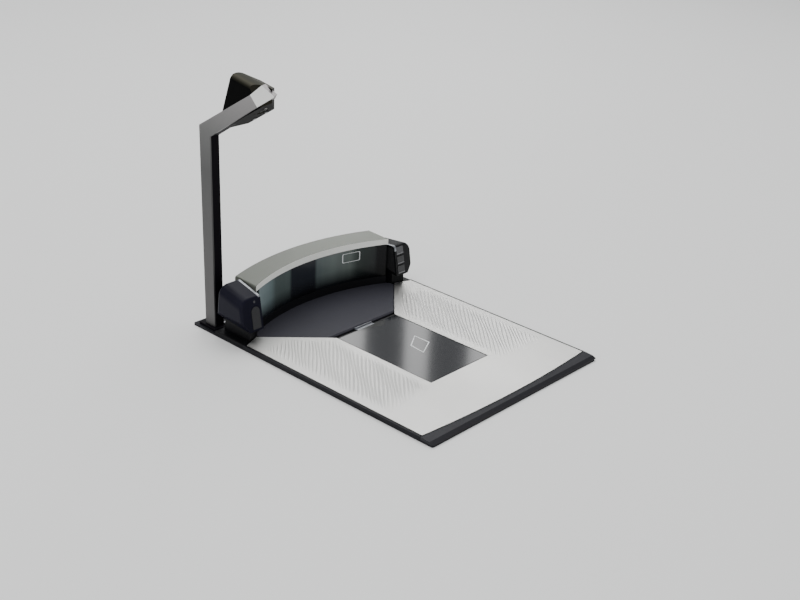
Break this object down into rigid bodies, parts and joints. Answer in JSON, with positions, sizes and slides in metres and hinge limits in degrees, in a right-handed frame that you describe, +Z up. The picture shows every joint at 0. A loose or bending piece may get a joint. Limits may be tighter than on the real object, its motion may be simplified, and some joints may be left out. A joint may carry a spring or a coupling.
{
  "type": "bioptic checkout scanner with overhead camera",
  "caption": "In-counter checkout scanner and scale: stainless platter with a horizontal window, low curved upright window with end caps, and a mast with an overhead camera head.",
  "frame": {"origin": "centre of the footprint at the underside of the feet", "axes": "+X to the operator's right along the counter, +Y from the operator's edge towards the bonnet, +Z up"},
  "size_m": [0.292, 0.392, 0.4271],
  "materials": {
    "tub": "painted die casting",
    "feet": "matte",
    "rim": "fine texture",
    "bumper": "fine texture",
    "fastener": "zinc plated",
    "scale_metal": "cast",
    "cell": "machined",
    "pad": "matte",
    "board": "solder mask",
    "chips": "moulded",
    "inner_plastic": "matte",
    "clear": "polished",
    "mirror": "front surface",
    "stainless": "satin with fine ribs",
    "window_glass": "polished, smoked",
    "upright_glass": "polished, smoked teal grey",
    "seal": "matte",
    "lift_bar": "polished",
    "deck": "fine texture",
    "bonnet_black": "matte",
    "bonnet_metal": "satin warm grey",
    "cap_dark": "satin",
    "trim_bright": "satin",
    "key_grey": "satin",
    "lens_grey": "smoked",
    "mast_metal": "satin",
    "mast_black": "satin",
    "head_black": "satin",
    "cable": "matte",
    "light": "diffuse"
  },
  "bodies": {
    "unit": {"lower_housing": "tub", "housing_feet": "feet", "rim_frame": "rim", "front_bumper": "bumper", "rim_screws": "fastener", "cell_pedestal": "scale_metal", "load_cell": "cell", "weigh_spider": "scale_metal", "spider_pads": "pad", "weigh_board": "board", "optics_box": "inner_plastic", "lower_window": "clear", "fold_mirror": "mirror", "lower_imager": "chips", "lower_led_boards": "board", "board_standoffs": "fastener", "main_board": "board", "board_chips": "chips", "socket_block": "chips", "deck_panel": "deck", "window_sill": "bonnet_black", "vertical_window": "upright_glass", "window_mask": "bonnet_black", "bonnet_shell": "bonnet_black", "bonnet_cover": "bonnet_metal", "vertical_imagers": "chips", "imager_lenses": "clear", "window_led_board": "board", "speaker": "chips", "trim_strips": "trim_bright", "end_cap_right": "cap_dark", "end_cap_left": "cap_dark", "status_lens": "lens_grey", "call_lens": "lens_grey", "key_boards": "board", "cap_bases": "bonnet_black", "mast_cover": "mast_metal", "mast_body": "mast_black", "mast_foot": "mast_black", "mast_screws": "fastener", "mast_cable": "cable", "cable_plugs": "chips", "head_housing": "head_black", "head_base": "head_black", "head_window": "clear", "head_light_lens": "light", "head_led_board": "board", "camera_board": "board", "camera_barrel": "chips", "camera_lens": "clear", "head_screws": "fastener"},
    "platter": {"platter": "stainless", "window_gasket": "seal", "platter_window": "window_glass", "window_carrier": "inner_plastic", "tab_pin": "fastener"},
    "lift_tab": {"lift_tab": "lift_bar"},
    "zero_key": {"zero_key": "key_grey"},
    "tone_key": {"tone_key": "key_grey"},
    "call_key": {"call_key": "key_grey"}
  },
  "joints": [
    {"name": "platter_lift", "type": "slide", "parent": "unit", "child": "platter", "axis": [0, -0.7071, 0.7071], "range_m": [0, 0.12]},
    {"name": "tab_hinge", "type": "hinge", "parent": "platter", "child": "lift_tab", "pos_m": [0, 0.0442, 0.1056], "axis": [1, 0, 0], "range_deg": [0, 90]},
    {"name": "zero_key_press", "type": "slide", "parent": "unit", "child": "zero_key", "axis": [0, 0.9855, -0.1695], "range_m": [0, 0.0008], "stiffness_N_per_m": 600, "springref_m": -0.0015},
    {"name": "tone_key_press", "type": "slide", "parent": "unit", "child": "tone_key", "axis": [0, 0.9855, -0.1695], "range_m": [0, 0.0008], "stiffness_N_per_m": 600, "springref_m": -0.0015},
    {"name": "call_key_press", "type": "slide", "parent": "unit", "child": "call_key", "axis": [0, 0.9855, -0.1695], "range_m": [0, 0.0008], "stiffness_N_per_m": 600, "springref_m": -0.0015}
  ]
}
